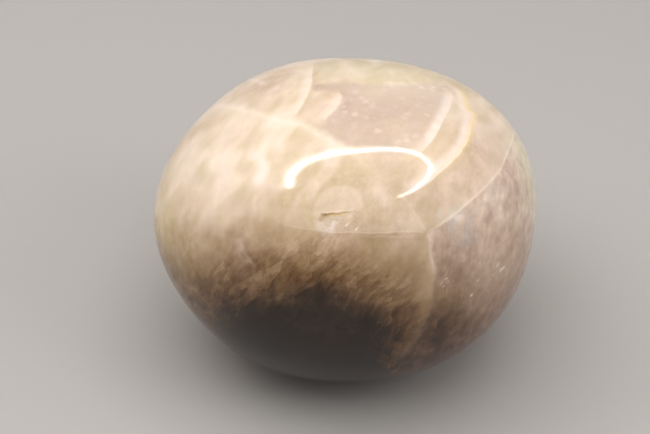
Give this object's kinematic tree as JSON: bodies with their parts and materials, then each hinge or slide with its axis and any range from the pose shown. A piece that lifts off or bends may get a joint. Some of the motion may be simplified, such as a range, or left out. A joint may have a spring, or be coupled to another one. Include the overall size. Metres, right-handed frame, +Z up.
{
  "type": "moonstone pebble",
  "caption": "Rounded, polished oval pebble of milky feldspar, with a small chip in its front and a small flat worn under it.",
  "frame": {"origin": "under the middle of the stone's outline, on the surface it lies on", "axes": "+X along the stone's length, +Y to its back (the chip is in its front), +Z up"},
  "size_m": [0.06, 0.054, 0.047],
  "materials": {
    "moonstone": "polished"
  },
  "bodies": {
    "root": {"pebble": "moonstone"}
  },
  "joints": []
}
